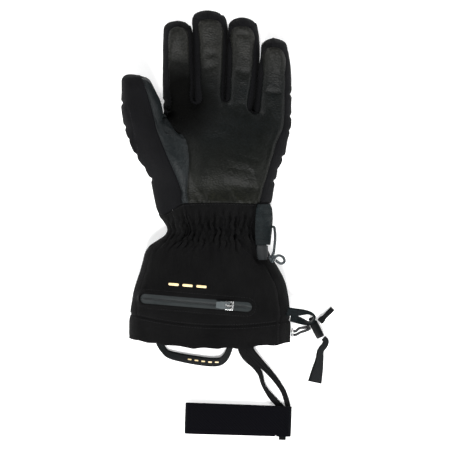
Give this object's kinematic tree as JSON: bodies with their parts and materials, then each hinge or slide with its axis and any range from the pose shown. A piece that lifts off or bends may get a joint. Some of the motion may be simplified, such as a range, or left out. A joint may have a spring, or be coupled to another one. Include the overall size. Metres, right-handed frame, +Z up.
{
  "type": "heated ski glove",
  "caption": "Padded left-hand glove with a leather palm, an elastic wrist, a long cuff with a zipped battery pocket, a hem drawcord with lock, a pull-on loop and a wrist leash",
  "frame": {"origin": "on the surface that the glove lies on, under the middle of the palm", "axes": "+Y to the fingertips, +X to the little finger's side, +Z up out of the palm"},
  "size_m": [0.2023, 0.4123, 0.0512],
  "materials": {
    "palm_leather": "supple grained",
    "thumb_leather": "supple grained",
    "shell_fabric": "matt stretch weave",
    "cuff_fabric": "matt stretch weave",
    "zip_tape": "laminated satin",
    "zip_coil": "satin",
    "bright_metal": "bright",
    "zip_pull": "matt",
    "strap_nylon": "satin woven",
    "moulded_grey": "satin",
    "keeper_cord": "braided",
    "drawcord": "braided elastic",
    "moulded_black": "satin",
    "ribbon": "flat woven",
    "webbing": "flat woven",
    "elastic": "brushed elastic"
  },
  "bodies": {
    "glove": {"palm_leather": "palm_leather", "thumb_leather": "thumb_leather", "thumb_shell": "shell_fabric", "finger_gusset_1": "shell_fabric", "finger_gusset_2": "shell_fabric", "finger_gusset_3": "shell_fabric", "back_shell": "shell_fabric", "cuff_front": "cuff_fabric", "cuff_back": "cuff_fabric", "hem_band": "cuff_fabric", "zip_tape": "zip_tape", "zip_coil": "zip_coil", "zip_slider": "bright_metal", "wrist_strap": "strap_nylon", "strap_tip": "moulded_grey", "keeper_cord": "keeper_cord", "keeper_knot": "keeper_cord", "keeper_loop": "keeper_cord", "eyelet": "bright_metal", "drawcord_upper": "drawcord", "drawcord_lower": "drawcord", "lock_body": "moulded_black", "cord_end": "moulded_black", "anchor_ribbon": "strap_nylon", "tail_ribbon": "ribbon", "pull_on_loop": "ribbon", "leash_left": "webbing", "leash_right": "webbing", "wrist_band": "elastic", "band_tab": "webbing"},
    "pull": {"zip_pull": "zip_pull"},
    "button": {"lock_button": "moulded_black"}
  },
  "joints": [
    {"name": "zip_pull_swing", "type": "hinge", "parent": "glove", "child": "pull", "pos_m": [0.00703, -0.13282, 0.04927], "axis": [0.0802, 0.9968, 0], "range_deg": [0, 165]},
    {"name": "lock_button_press", "type": "slide", "parent": "glove", "child": "button", "axis": [0.4586, -0.8886, 0], "range_m": [0, 0.0022], "stiffness_N_per_m": 300, "springref_m": -0.002}
  ]
}
